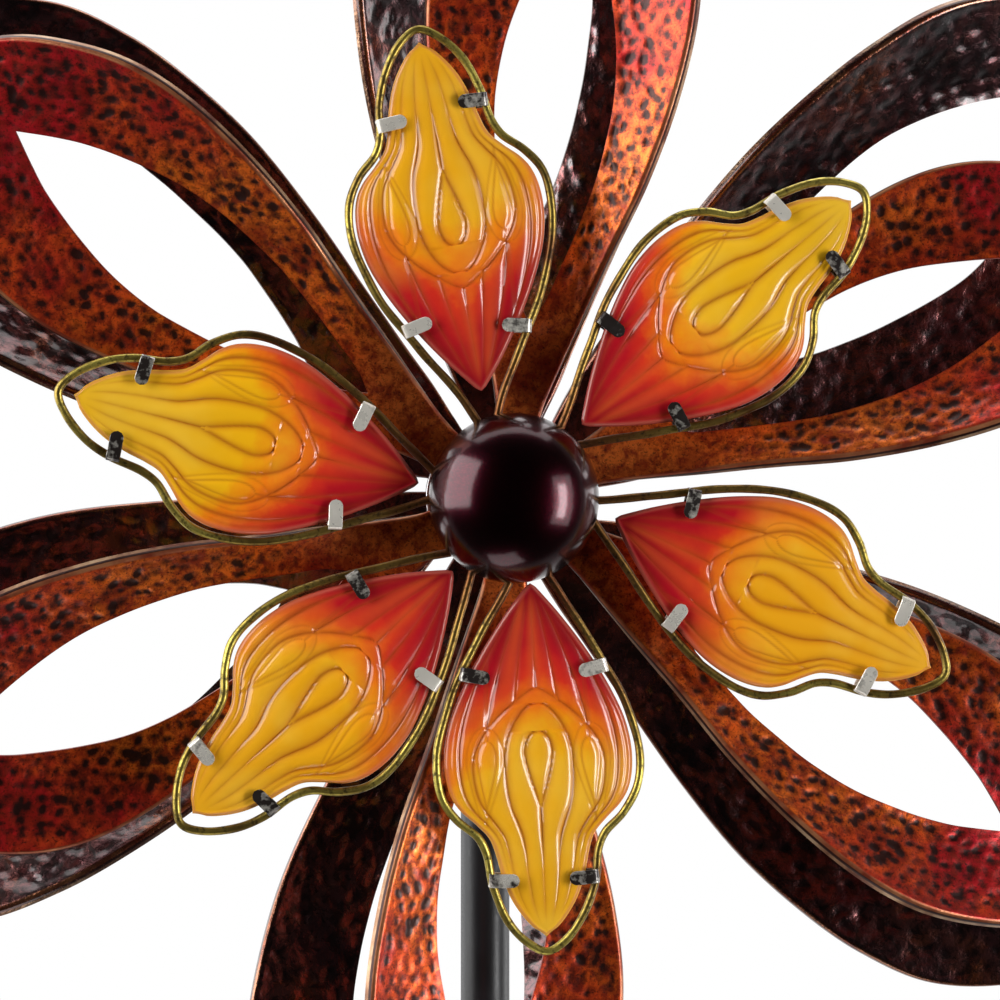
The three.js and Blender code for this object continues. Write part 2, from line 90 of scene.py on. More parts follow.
POLE_RADIUS, POLE_BORE = 9.5, 8.5
POLE_JOINTS = [5.3, 470, 935, 1388]
NECK_LENGTH = 50
HEAD_SCREW_HEIGHT = 1365
STEP_BAR = {"half_length": 79, "half_width": 4, "corner": 6, "thickness": 5}
PRONG_OFFSET = 58

FRONT_LOOP = {
    "prefix": "front",
    "hub": FRONT_HUB,
    "bearings": [23, 83.3, 143.5, 204.5, 267.5, 326.5],
    "offset": 0,
    "outline": [[16, 7.4], [31, 8.2], [50, 13.2], [68, 19], [94, 28.4], [120, 38.2], [150, 46.2],
                [180, 50], [205, 47.5], [229, 37.5], [246, 25.5], [266, 1.8]],
    "opening": [[64, 0], [72, 4.6], [84, 8.8], [98, 13.4], [116, 18.4], [130, 20.8], [146, 22.3],
                [165, 21.3], [183, 17.4], [200, 11.8], [211, 6.6], [223, 0]],
    "pitch": -20,
    "dish": 11 / 50 ** 2,
    "step": 0.95,
    "columns": 30,
    "dents": {"spacing": 5.2, "radius": 2.15, "stretch": 1.35, "depth": 0.6},
    "wave": 0.35,
    "seed": 11,
}
REAR_LOOP = {
    "prefix": "rear",
    "hub": REAR_HUB,
    "bearings": [35.6, 89.9, 148.2, 206.1, 264.8, 328.6],
    "offset": -4,
    "outline": [[16, 6.6], [30, 13.4], [43, 19.8], [55, 25], [86, 39], [117, 51.5], [150, 62],
                [182, 67.5], [210, 69], [240, 65], [268, 50], [290, 28], [305, 1.8]],
    "opening": [[86, 0], [96, 7.4], [112, 15.6], [131, 23], [152, 28.4], [175, 32], [197, 33],
                [220, 28], [242, 18.6], [258, 9], [272, 0]],
    "pitch": 20,
    "dish": 18 / 69 ** 2,
    "step": 1.25,
    "columns": 30,
    "dents": {"spacing": 7.6, "radius": 2.7, "stretch": 1.35, "depth": 0.75},
    "wave": 0.5,
    "seed": 23,
}

PETAL_PLANE = 134
PETAL_HUB_RADIUS = 24
PETAL_SEED = 40
GLASS_OUTLINE = [[31, 0.8], [35, 4.2], [42, 9.8], [51, 16.2], [61, 22.5], [71, 27.8], [81, 31.9],
                 [91, 33.9], [100, 33.8], [107, 32], [112, 28.8], [117, 23.6], [122, 19.2],
                 [128, 17], [136, 15.1], [145, 11.8], [153, 6.5], [158.5, 0.8]]
GLASS_THICKNESS = 6
WIRE_OUTLINE = [[30, 7.4], [50, 19.4], [72, 31], [92, 36.6], [106, 35.6], [115, 30.2], [122, 23],
                [128, 20.3], [140, 18.4], [151, 14.2], [160, 7.2]]
WIRE_TIP = 164
WIRE_RADIUS = 1.5
WIRE_SPREAD = 0.6
PETALS = [
    {"bearing": 39.7, "reach": 5, "offset": 4.5, "clips": [60.8, 58.6, 135.5, 139.1]},
    {"bearing": 100.2, "reach": 8, "offset": 4.2, "clips": [57.6, 52, 131.8, 135.1],
     "slip": [1, 0.4]},
    {"bearing": 165.7, "reach": 3.5, "offset": 3.2, "clips": [56.2, 55.2, 139.4, 136.1]},
    {"bearing": 222.8, "reach": 3, "offset": 4.5, "clips": [62.9, 58.3, 136.4, 140.7]},
    {"bearing": 272.7, "reach": 0, "offset": 4.5, "clips": [61.4, 62.4, 137.4, 137.2]},
    {"bearing": 334.8, "reach": 5.5, "offset": 9, "clips": [52.8, 64.8, 140.2, 138.4]},
]
AMBER = [0.05, 0.45, 0.1, 0.5, 0.4, 0.6]  # how far each petal's yellow turns to amber
CLIP = {"width": 5, "length": 10.5, "thickness": 0.8, "bend": 1.6, "bevel": 0.18,
        "sides": (1, -1, 1, -1), "tilts": (12, 12, 3, 3)}


# ---- curves ----
def smooth(x, low, high):
    t = np.clip((x - low) / (high - low), 0, 1)
    return t * t * (3 - 2 * t)


def value_at(pairs, position):
    """Smooth curve through [position, value] pairs, read at an array of positions."""
    xs, ys = np.array(pairs, float).T
    before = np.maximum(np.arange(len(xs)) - 1, 0)
    after = np.minimum(np.arange(len(xs)) + 1, len(xs) - 1)
    slope = (ys[after] - ys[before]) / (xs[after] - xs[before])
    i = np.clip(np.searchsorted(xs, position, side="right") - 1, 0, len(xs) - 2)
    span = xs[i + 1] - xs[i]
    t = np.clip((position - xs[i]) / span, 0, 1)
    rise = ys[i] * (1 - t) ** 2 * (1 + 2 * t) + ys[i + 1] * t ** 2 * (3 - 2 * t)
    return rise + span * t * (1 - t) * (slope[i] * (1 - t) - slope[i + 1] * t)


def catmull_rom(points, count):
    """Points evenly spread along a smooth curve through a list of 2-D points."""
    points = np.array(points, float)
    ends = [2 * points[0] - points[1], 2 * points[-1] - points[-2]]
    p = np.vstack([ends[0], points, ends[1]])
    knots = np.concatenate([[0], np.cumsum(np.linalg.norm(np.diff(p, axis=0), axis=1) ** 0.5)])
    dense = []
    for i in range(1, len(p) - 2):
        t0, t1, t2, t3 = knots[i - 1:i + 3]
        t = np.linspace(t1, t2, 24, endpoint=False)[:, None]

        def between(low, high, a, b):
            return (high - t) / (high - low) * a + (t - low) / (high - low) * b

        a1, a2, a3 = (between(*knots[k:k + 2], *p[k:k + 2]) for k in (i - 1, i, i + 1))
        dense.append(between(t1, t2, between(t0, t2, a1, a2), between(t1, t3, a2, a3)))
    dense = np.vstack([*dense, points[-1:]])
    length = np.concatenate([[0], np.cumsum(np.linalg.norm(np.diff(dense, axis=0), axis=1))])
    at = np.linspace(0, length[-1], count)
    return np.column_stack([np.interp(at, length, dense[:, k]) for k in range(dense.shape[1])])


# ---- meshes ----
def from_axle(points):
    """(x, y, f) from the axle in millimetres to the frame's metres."""
    points = np.asarray(points, float)
    return np.stack([points[..., 0], -points[..., 2], AXLE_HEIGHT + points[..., 1]], axis=-1) / 1000


def from_ground(points):
    """(x, y, z) from the ground in millimetres to the frame's metres."""
    return np.asarray(points, float) / 1000


def spun(points, bearing, offset=0.0, reach=0.0):
    """(along, across, f) beside a bearing to (x, y, f)."""
    turn = math.radians(bearing)
    along, across = points[..., 0] + reach, points[..., 1] + offset
    return np.stack([
        along * math.cos(turn) - across * math.sin(turn),
        along * math.sin(turn) + across * math.cos(turn),
        points[..., 2],
    ], axis=-1)


def make_object(name, vertices, faces, material, attributes=None, crease=40, weld=1e-6):
    mesh = bpy.data.meshes.new(name)
    mesh.from_pydata(np.asarray(vertices).tolist(), [], [list(map(int, face)) for face in faces])
    for key, values in (attributes or {}).items():
        mesh.attributes.new(key, "FLOAT", "POINT").data.foreach_set("value", np.ravel(values))
    shape = bmesh.new()
    shape.from_mesh(mesh)
    bmesh.ops.remove_doubles(shape, verts=shape.verts, dist=weld)
    bmesh.ops.dissolve_degenerate(shape, edges=shape.edges, dist=1e-7)
    bmesh.ops.recalc_face_normals(shape, faces=shape.faces)
    shape.to_mesh(mesh)
    shape.free()
    mesh.shade_smooth()
    mesh.set_sharp_from_angle(angle=math.radians(crease))
    mesh.materials.append(material)
    thing = bpy.data.objects.new(name, mesh)
    bpy.context.scene.collection.objects.link(thing)
    return thing


def attach(thing, body, node=None):
    """Put a piece on its body, in the place of a CAD node if one is named."""
    if node:
        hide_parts(node)
    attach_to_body(thing, body)


def grid_faces(rows, columns, start=0, close_rows=False, close_columns=False, flip=False):
    """Quads of a grid, row by row, whose points are numbered row by row."""
    i = np.arange(rows if close_rows else rows - 1)[:, None]
    j = np.arange(columns if close_columns else columns - 1)[None, :]
    here, right = i * columns + j, i * columns + (j + 1) % columns
    up, across = ((i + 1) % rows) * columns + j, ((i + 1) % rows) * columns + (j + 1) % columns
    quads = np.stack([here, up, across, right], axis=-1).reshape(-1, 4) + start
    return quads[:, ::-1] if flip else quads


def wall(line, back, flip=False):
    """Quads between a line of grid points and the same line on the grid that starts at back."""
    quads = np.stack([line[:-1], line[1:], line[1:] + back, line[:-1] + back], axis=-1)
    return quads[:, ::-1] if flip else quads


def tube_faces(rows, columns):
    """Quads of a tube of rings, and its two end faces."""
    faces = [list(face) for face in grid_faces(rows, columns, close_columns=True)]
    last = (rows - 1) * columns
    return [*faces, list(range(columns)), [last + k for k in reversed(range(columns))]]


def path_frame(path):
    """Unit normals of a flat path."""
    step = np.gradient(path, axis=0)
    return np.column_stack([step[:, 1], -step[:, 0]]) / np.linalg.norm(step, axis=1)[:, None]


def rounded(profile, radius, steps=3):
    """Closed [radius, along] profile with its corners rounded, except those on the axis."""
    out = []
    count = len(profile)
    for i, corner in enumerate(profile):
        corner = np.array(corner, float)
        before, after = (np.array(profile[(i + k) % count], float) for k in (-1, 1))
        if corner[0] < 1e-6:
            out.append(corner)
            continue
        a, b = before - corner, after - corner
        la, lb = np.linalg.norm(a), np.linalg.norm(b)
        reach = min(radius, 0.4 * la, 0.4 * lb)
        start, end = corner + a / la * reach, corner + b / lb * reach
        for t in np.linspace(0, 1, steps + 1):
            out.append((1 - t) ** 2 * start + 2 * t * (1 - t) * corner + t ** 2 * end)
    return np.array(out)


def turned(profile, segments=96, edge=0.35):
    """Vertices (x, y, along) and faces of a closed profile turned about the third axis."""
    points = rounded(profile, edge) if edge else np.array(profile, float)
    turn = np.linspace(0, 2 * math.pi, segments, endpoint=False)
    vertices = np.stack([
        np.outer(np.cos(turn), points[:, 0]),
        np.outer(np.sin(turn), points[:, 0]),
        np.broadcast_to(points[:, 1], (segments, len(points))),
    ], axis=-1).reshape(-1, 3)
    return vertices, grid_faces(segments, len(points), close_rows=True, close_columns=True)


def ring_profile(inner, outer, back, front):
    return [[inner, back], [outer, back], [outer, front], [inner, front]]


def rod_profile(radius, back, front):
    return [[0, back], [radius, back], [radius, front], [0, front]]


def prism(outline, back, front):
    """Vertices and faces of a flat outline raised along the third axis."""
    count = len(outline)
    vertices = [(x, y, along) for along in (back, front) for x, y in outline]
    sides = [[i, (i + 1) % count, count + (i + 1) % count, count + i] for i in range(count)]
    ends = [list(range(count))[::-1], list(range(count, 2 * count))]
    return np.array(vertices, float), [*sides, *ends]


def combined(*shapes):
    """Several (vertices, faces) as one."""
    vertices, faces, start = [], [], 0
    for points, quads in shapes:
        vertices.append(points)
        faces.extend([[int(k) + start for k in face] for face in quads])
        start += len(points)
    return np.vstack(vertices), faces


def moved(shape, x=0.0, y=0.0, along=0.0):
    return shape[0] + np.array([x, y, along]), shape[1]


# ---- materials ----
class Shader:
    """A material and short ways to add nodes to it."""

    def __init__(self, name):
        self.material = bpy.data.materials.new(name)
        self.material.use_nodes = True
        self.tree = self.material.node_tree
        self.surface = self.tree.nodes["Principled BSDF"]
        self.place = self.add("TexCoord").outputs["Object"]

    def add(self, kind, inputs=None, **settings):
        node = self.tree.nodes.new("ShaderNode" + kind)
        for key, value in settings.items():
            setattr(node, key, value)
        for key, value in (inputs or {}).items():
            self.feed(node.inputs[key], value)
        return node

    def feed(self, socket, value):
        if isinstance(value, bpy.types.NodeSocket):
            self.tree.links.new(value, socket)
        else:
            socket.default_value = value

    def set(self, **inputs):
        for key, value in inputs.items():
            self.feed(self.surface.inputs[key.replace("_", " ")], value)

    def attribute(self, name):
        return self.add("Attribute", attribute_name=name).outputs["Fac"]

    def noise(self, scale, detail=3.0, roughness=0.55, distortion=0.0):
        node = self.add("TexNoise", {
            "Vector": self.place, "Scale": scale, "Detail": detail,
            "Roughness": roughness, "Distortion": distortion,
        })
        return node.outputs["Fac"]

    def cells(self, scale):
        node = self.add("TexVoronoi", {"Vector": self.place, "Scale": scale})
        return node.outputs["Distance"]

    def math(self, operation, a, b):
        return self.add("Math", {0: a, 1: b}, operation=operation).outputs[0]

    def between(self, value, low, high, to_low=0.0, to_high=1.0):
        return self.add("MapRange", {
            "Value": value, "From Min": low, "From Max": high, "To Min": to_low, "To Max": to_high,
        }).outputs["Result"]

    def ramp(self, value, stops):
        node = self.add("ValToRGB", {"Fac": value})
        while len(node.color_ramp.elements) < len(stops):
            node.color_ramp.elements.new(0.5)
        for element, (position, colour) in zip(node.color_ramp.elements, stops):
            element.position = position
            element.color = (*colour, 1)
        return node.outputs["Color"]

    def mix(self, factor, a, b):
        node = self.add("Mix", data_type="RGBA")
        for socket, value in zip((node.inputs[0], node.inputs[6], node.inputs[7]), (factor, a, b)):
            self.feed(socket, (*value, 1) if isinstance(value, tuple) else value)
        return node.outputs[2]

    def bump(self, height, strength, distance):
        node = self.add("Bump", {
            "Height": height, "Strength": strength, "Distance": distance,
        })
        return node.outputs["Normal"]


def lip_wear_and_painted_light(s, lip):
    """Colour of the folded edge: copper brown, a dark line of painted shade in the fold, and a pale
    edge behind it, partly worn paint and partly a painted highlight.
    """
    wear_and_painted_light = s.noise(60, 4, 0.6)
    # pale edge behind the fold: partly worn paint, partly a painted highlight along the fold
    pale = s.ramp(wear_and_painted_light, [
        (0.38, (0.10, 0.030, 0.016)), (0.50, (0.22, 0.11, 0.055)), (0.66, (0.38, 0.25, 0.15)),
    ])
    fold = s.mix(s.between(wear_and_painted_light, 0.4, 0.6), (0.20, 0.035, 0.015), (0.36, 0.14, 0.06))
    # painted shade: a near-black line where the sheet folds over
    fold = s.mix(s.between(lip, 0.46, 0.52), fold, (0.025, 0.006, 0.004))
    return s.mix(s.between(lip, 0.70, 0.76), fold, pale)


def front_loop_material():
    s = Shader("hammered_copper")
    along, dent, edge, lip = (s.attribute(name) for name in ("along", "dent", "edge", "lip"))
    patches = s.noise(26, 4, 0.6)
    mottle = s.noise(230, 5, 0.7, 0.4)
    speckle = s.noise(1100, 2, 0.6)
    shifted = s.math("ADD", along, s.between(patches, 0.3, 0.7, -0.16, 0.16))
    base = s.ramp(shifted, [
        (0.06, (0.66, 0.160, 0.028)),
        (0.26, (0.66, 0.140, 0.018)),
        (0.44, (0.74, 0.150, 0.014)),
        (0.58, (0.66, 0.075, 0.012)),
        (0.70, (0.48, 0.014, 0.014)),
        (0.90, (0.38, 0.004, 0.018)),
    ])
    base = s.mix(s.between(mottle, 0.42, 0.60, 0.0, 0.85), base, (0.16, 0.010, 0.004))
    base = s.mix(s.between(s.noise(48, 4, 0.6), 0.50, 0.66, 0.0, 0.7), base, (0.20, 0.012, 0.005))
    base = s.mix(s.between(speckle, 0.54, 0.70, 0.0, 0.8), base, (0.020, 0.007, 0.004))
    ragged = s.between(s.noise(480, 3, 0.6), 0.3, 0.7, -0.16, 0.16)
    depth = s.between(s.noise(60, 3), 0.3, 0.6, 0.55, 1.1)
    burnt = s.math("ADD", s.math("MULTIPLY", dent, depth), ragged)
    base = s.mix(s.between(burnt, 0.10, 0.62, 0.0, 0.96), base, (0.014, 0.006, 0.005))
    base = s.mix(s.between(edge, 0.5, 1.0, 0.0, 0.6), base, (0.16, 0.012, 0.006))
    base = s.mix(s.between(lip, 0.05, 0.2), base, lip_wear_and_painted_light(s, lip))
    s.set(Base_Color=base, Metallic=0.6, Roughness=s.between(mottle, 0.3, 0.7, 0.28, 0.44),
          Specular_IOR_Level=0.3, Coat_Weight=0.12, Coat_Roughness=0.14)
    s.set(Normal=s.bump(s.noise(700, 3), 0.3, 0.0003))
    return s.material


def rear_loop_material():
    s = Shader("hammered_bronze")
    dent, edge, lip = (s.attribute(name) for name in ("dent", "edge", "lip"))
    patches = s.noise(34, 4, 0.62, 0.5)
    mottle = s.noise(190, 5, 0.7, 0.6)
    base = s.ramp(patches, [
        (0.34, (0.020, 0.010, 0.012)),
        (0.47, (0.085, 0.030, 0.032)),
        (0.58, (0.130, 0.042, 0.036)),
        (0.68, (0.200, 0.050, 0.018)),
    ])
    base = s.mix(s.between(mottle, 0.42, 0.58, 0.0, 0.9), base, (0.010, 0.006, 0.006))
    base = s.mix(s.between(dent, 0.3, 0.8, 0.0, 0.6), base, (0.008, 0.005, 0.006))
    base = s.mix(s.between(edge, 0.6, 1.0, 0.0, 0.6), base, (0.05, 0.02, 0.015))
    base = s.mix(s.math("MULTIPLY", s.between(lip, 0.05, 0.2), 0.6), base, lip_wear_and_painted_light(s, lip))
    s.set(Base_Color=base, Metallic=0.9, Roughness=s.between(mottle, 0.3, 0.7, 0.18, 0.34),
          Coat_Weight=0.7, Coat_Roughness=0.12)
    s.set(Normal=s.bump(s.noise(300, 3), 0.7, 0.0006))
    return s.material


def glass_material():
    s = Shader("painted_glass")
    along, across, groove, rim = (s.attribute(name) for name in ("along", "across", "groove", "rim"))
    radial_highlight, valley_shade = s.attribute("radial_highlight"), s.attribute("valley_shade")
    edges = s.math("MULTIPLY", s.math("MULTIPLY", across, across), -0.24)
    brushed = s.between(s.noise(55, 4, 0.6), 0.3, 0.7, -0.05, 0.05)
    flame = s.math("ADD", s.math("ADD", along, edges), brushed)
    base = s.ramp(flame, [
        (0.00, (0.26, 0.001, 0.008)),
        (0.15, (0.42, 0.004, 0.012)),
        (0.26, (0.62, 0.026, 0.010)),
        (0.36, (0.82, 0.180, 0.004)),
        (0.46, (0.84, 0.430, 0.004)),
        (0.90, (0.76, 0.430, 0.012)),
    ])
    amber = s.math("MULTIPLY", s.attribute("amber"), s.between(along, 0.30, 0.45))
    base = s.mix(s.math("MULTIPLY", amber, 0.8), base, (0.80, 0.28, 0.008))
    # painted shade: darker amber in the hollows between the relief's crests
    base = s.mix(s.math("MULTIPLY", valley_shade, 0.42), base, s.mix(0.4, (0.42, 0.085, 0.004), base))
    glow = s.between(s.noise(38, 3, 0.5), 0.45, 0.7, 0.0, 0.35)
    base = s.mix(s.math("MULTIPLY", glow, s.between(along, 0.3, 0.5)), base, (0.90, 0.60, 0.07))
    # painted highlight: lighter orange streaks fanning out from the base, standing in for the
    # highlights of radial ridges that the mesh does not model
    base = s.mix(s.math("MULTIPLY", radial_highlight, 0.32), base, (0.74, 0.13, 0.020))
    # groove colour: dark paint in the groove lines, with a softer band of painted shade round them
    base = s.mix(s.math("MULTIPLY", groove, 0.85), base, s.mix(0.25, (0.34, 0.055, 0.006), base))
    # painted highlight: a lighter peach band along the glass's rounded edge
    base = s.mix(s.math("MULTIPLY", rim, 0.5), base, (0.55, 0.14, 0.09))
    s.set(Base_Color=base, Roughness=0.5, Specular_IOR_Level=0.1,
          Coat_Weight=0.7, Coat_Roughness=0.09)
    return s.material


def wire_material():
    s = Shader("aged_brass")
    tone = s.noise(28, 4, 0.6)
    patina = s.noise(420, 4, 0.65)
    base = s.ramp(tone, [
        (0.34, (0.11, 0.055, 0.017)), (0.50, (0.30, 0.22, 0.045)), (0.64, (0.52, 0.43, 0.09)),
    ])
    red = s.between(s.attribute("along"), 0.18, 0.62, 0.85, 0.0)
    base = s.mix(red, base, (0.13, 0.035, 0.014))
    base = s.mix(s.between(patina, 0.50, 0.66, 0.0, 0.85), base, (0.025, 0.015, 0.008))
    s.set(Base_Color=base, Metallic=0.9, Roughness=s.between(patina, 0.3, 0.7, 0.28, 0.5))
    s.set(Normal=s.bump(patina, 0.2, 0.0003))
    return s.material


def plated_material(name, colour, roughness, scratches):
    s = Shader(name)
    fine = s.noise(900, 3, 0.6)
    dull = tuple(0.45 * channel for channel in colour)
    base = s.mix(s.between(s.noise(160, 4), 0.45, 0.7, 0.0, 0.4), colour, dull)
    s.set(Base_Color=base, Metallic=1.0,
          Roughness=s.between(fine, 0.3, 0.7, 0.7 * roughness, 1.5 * roughness))
    s.set(Normal=s.bump(fine, scratches, 0.0002))
    return s.material


def clip_material():
    s = Shader("nickel_with_painted_reflection")
    blotches = s.noise(300, 3, 0.6)
    wear_and_painted_light = s.math("ADD", s.attribute("dark_reflection"), s.between(blotches, 0.35, 0.65, -0.25, 0.25))
    # painted reflection: the near-black colour stands in for a dark reflection on some clips, in
    # blotches; the rest stay bright nickel
    base = s.mix(s.between(wear_and_painted_light, 0.45, 0.85), (0.74, 0.70, 0.62), (0.022, 0.016, 0.014))
    s.set(Base_Color=base, Metallic=0.5, Roughness=s.between(blotches, 0.3, 0.7, 0.22, 0.42),
          Coat_Weight=0.4, Coat_Roughness=0.12)
    s.set(Normal=s.bump(s.noise(900, 3, 0.6), 0.25, 0.0002))
    return s.material


def dome_material():
    s = Shader("burgundy_enamel")
    flake = s.between(s.cells(1900), 0.15, 0.5, 0.8, 0.0)
    base = s.mix(flake, (0.018, 0.0005, 0.003), (0.060, 0.002, 0.008))
    s.set(Base_Color=base, Metallic=1.0, Roughness=0.27,
          Coat_Weight=0.8, Coat_IOR=1.4, Coat_Roughness=0.13)
    s.set(Coat_Normal=s.bump(s.noise(300, 3), 0.09, 0.0004))
    return s.material


def black_steel_material():
    s = Shader("powder_coated_steel")
    peel = s.noise(1100, 2, 0.5)
    tone = s.noise(40, 4)
    base = s.ramp(tone, [(0.35, (0.007, 0.007, 0.008)), (0.65, (0.013, 0.013, 0.015))])
    s.set(Base_Color=base, Roughness=s.between(peel, 0.3, 0.7, 0.30, 0.44), Specular_IOR_Level=0.3)
    s.set(Normal=s.bump(peel, 0.22, 0.0002))
    return s.material


def soil_steel_material():
    """Dark steel of the fork, with patches of rust."""
    s = Shader("fork_steel")
    rust = s.between(s.noise(90, 5, 0.65), 0.48, 0.62)
    base = s.mix(rust, (0.035, 0.034, 0.036), (0.13, 0.045, 0.016))
    s.set(Base_Color=base, Metallic=s.between(rust, 0.0, 1.0, 0.4, 0.1),
          Roughness=s.between(rust, 0.0, 1.0, 0.38, 0.75))
    s.set(Normal=s.bump(s.noise(800, 4), 0.35, 0.0003))
    return s.material


def flat_material(name, colour, roughness):
    s = Shader(name)
    base = s.mix(s.between(s.noise(3, 3), 0.35, 0.65, 0.0, 0.06), colour, (0.55, 0.55, 0.55))
    s.set(Base_Color=base, Roughness=roughness)
    return s.material


# ---- loops ----
def dents_at(along, across, dents, rng):
    """How deep each point is in the nearest hammer mark, from 0 to 1."""
    spacing, radius, stretch = dents["spacing"], dents["radius"], dents["stretch"]
    shift = rng.uniform(-0.30, 0.30, (DENT_COLUMNS, DENT_ROWS, 2))
    size = rng.uniform(0.70, 1.15, (DENT_COLUMNS, DENT_ROWS))
    power = rng.uniform(0.5, 1.0, (DENT_COLUMNS, DENT_ROWS))
    lean = rng.uniform(-0.9, 0.9, (DENT_COLUMNS, DENT_ROWS))
    u = along / spacing
    deepest = np.zeros_like(along)
    for di in (-1, 0, 1):
        i = np.floor(u).astype(int) + di
        v = across / spacing + DENT_ROWS / 2 + 0.5 * (i % 2)
        for dj in (-1, 0, 1):
            j = np.floor(v).astype(int) + dj
            mark = np.clip(i, 0, DENT_COLUMNS - 1), np.clip(j, 0, DENT_ROWS - 1)
            du = (u - (i + 0.5 + shift[..., 0][mark])) * spacing
            dv = (v - (j + 0.5 + shift[..., 1][mark])) * spacing
            a = du * np.cos(lean[mark]) + dv * np.sin(lean[mark])
            b = dv * np.cos(lean[mark]) - du * np.sin(lean[mark])
            away = np.hypot(a / stretch, b * stretch ** 0.5) / (radius * size[mark])
            deepest = np.maximum(deepest, power[mark] * np.exp(-away ** 2.4))
    return deepest


def loop_section(loop, along, outer, inner):
    """Front and back of a dished loop with folded edges, in (across, f), before it is pitched."""
    dish = loop["dish"] * smooth(along, TWIST_START, TWIST_END)
    steep = 2 * dish * outer
    slant = np.hypot(1, steep)
    folded = SHEET + (LIP - SHEET) * smooth(along, TWIST_START, TWIST_START + 2 * LIP)
    fold = np.minimum(np.minimum(FOLD, 0.8 * folded), 0.45 * (outer - inner))
    flat_end = outer - fold / slant
    outward = np.stack([1 / slant, steep / slant], axis=-1)
    backward = np.stack([steep / slant, -1 / slant], axis=-1)
    centre = np.stack([flat_end, dish * flat_end ** 2], axis=-1) + backward * fold[..., None]
    b = inner + (flat_end - inner) * np.linspace(0, 1, loop["columns"])
    f = dish * b ** 2
    slope = 2 * dish * b
    length = np.hypot(1, slope)
    front = np.stack([b, f], axis=-1)
    back = np.stack([b + slope / length * SHEET, f - 1 / length * SHEET], axis=-1)
    surfaces = []
    for flat, bend in ((front, fold), (back, np.maximum(fold - SHEET, FOLD_INSIDE))):
        bend, drop = bend[..., None], (folded - fold)[..., None]
        arc = [centre + bend * (outward * math.sin(turn) - backward * math.cos(turn))
               for turn in np.radians([30, 60, 90])]
        lip = [centre + bend * outward + share * drop * backward for share in (0.5, 1.0)]
        half = np.concatenate([flat, *arc, *lip], axis=1)
        surfaces.append(np.concatenate([half[:, ::-1] * [-1, 1], half], axis=1))
    return surfaces


def loop_wave(loop, u, v, from_edge, rng):
    """Slow unevenness of the sheet."""
    phases = rng.uniform(0, 2 * math.pi, 6)
    wave = (np.sin(u / 7.3 + v / 11 + phases[0]) + np.sin(u / 11.7 - v / 6.1 + phases[1])
            + np.sin(v / 4.9 + u / 23 + phases[2])
            + 0.7 * np.sin(u / 3.9 + phases[3]) * np.sin(v / 4.3 + phases[4]))
    return wave * loop["wave"] * smooth(u, WAVE_START, WAVE_FULL) * smooth(from_edge, 0, 8) / 2


def loop_shape(loop, rng):
    """Grid points of one loop in (along, across, f), front and back, with its attributes."""
    tip = loop["outline"][-1][0]
    along = np.linspace(ROOT_RADIUS, tip, int((tip - ROOT_RADIUS) / loop["step"]))
    start, end = loop["opening"][0][0], loop["opening"][-1][0]
    along[np.argmin(abs(along - start))] = start
    along[np.argmin(abs(along - end))] = end
    within = (along > start) & (along < end)
    outer = value_at(loop["outline"], along)[:, None]
    inner = np.maximum(np.where(within, value_at(loop["opening"], along), 0), 0)[:, None]
    along = along[:, None]
    front, back = loop_section(loop, along, outer, inner)
    half = front.shape[1] // 2
    column = np.concatenate([np.arange(half)[::-1], np.arange(half)])
    across = front[..., 0]
    along = np.broadcast_to(along, across.shape)
    from_edge = np.clip(outer - abs(across), 0, None)
    from_opening = np.where(inner > 0, np.clip(abs(across) - inner, 0, None), math.inf)
    dent = dents_at(along, across, loop["dents"], rng)
    dent *= smooth(along, DENTS_START, DENTS_FULL)
    dent *= smooth(from_edge, 1.8, 4.0) * smooth(from_opening, 0.4, 2.5)
    drop = loop_wave(loop, along, across, from_edge, rng) - loop["dents"]["depth"] * dent
    drop = np.where(column >= loop["columns"], 0, drop)
    pitch = np.radians(loop["pitch"]) * smooth(along, TWIST_START, TWIST_END)
    grids = []
    for grid in (front, back):
        b, f = grid[..., 0], grid[..., 1] + drop
        grids.append(np.stack([
            along,
            b * np.cos(pitch) - f * np.sin(pitch),
            b * np.sin(pitch) + f * np.cos(pitch),
        ], axis=-1))
    lip = np.clip((column - loop["columns"] + 1) / (half - loop["columns"]), 0, 1)
    return {
        "front": grids[0],
        "back": grids[1],
        "open": np.flatnonzero(inner[:, 0] > 0),
        "attributes": {
            "dent": dent,
            "edge": np.maximum(1 - smooth(from_edge, 0.3, 2.6), 1 - smooth(from_opening, 0.1, 1.2)),
            "lip": lip * smooth(along, TWIST_START, TWIST_START + 2 * LIP),
            "along": along / 300,
        },
    }


def make_loops(loop, material):
    prefix = loop["prefix"]
    for number, bearing in enumerate(loop["bearings"], 1):
        shape = loop_shape(loop, np.random.default_rng(loop["seed"] + number))
        rows, columns = shape["front"].shape[:2]
        size, left, right = rows * columns, columns // 2 - 1, columns // 2
        index = np.arange(size).reshape(rows, columns)
        rim = np.concatenate([shape["open"][:1] - 1, shape["open"], shape["open"][-1:] + 1])
        solid = np.ones((rows - 1, columns - 1), bool)
        solid[rim[:-1], left] = False
        quads = np.vstack([
            grid_faces(rows, columns)[solid.ravel()],
            grid_faces(rows, columns, size, flip=True)[solid.ravel()],
            wall(index[:, 0], size, True),
            wall(index[:, -1], size),
            wall(index[0], size),
            wall(index[-1], size, True),
            wall(index[rim, left], size),
            wall(index[rim, right], size, True),
        ])
        points = np.vstack([shape["front"].reshape(-1, 3), shape["back"].reshape(-1, 3)])
        points[:, 2] += loop["hub"] + HUB_LENGTH + GAP + SHEET
        attributes = {key: np.tile(np.ravel(values), 2)
                      for key, values in shape["attributes"].items()}
        name = f"{prefix}_loop_{number}"
        thing = make_object(name + "_sheet", from_axle(spun(points, bearing, loop["offset"])),
                            quads, material, attributes, crease=50)
        attach(thing, f"{prefix}_rotor", name)


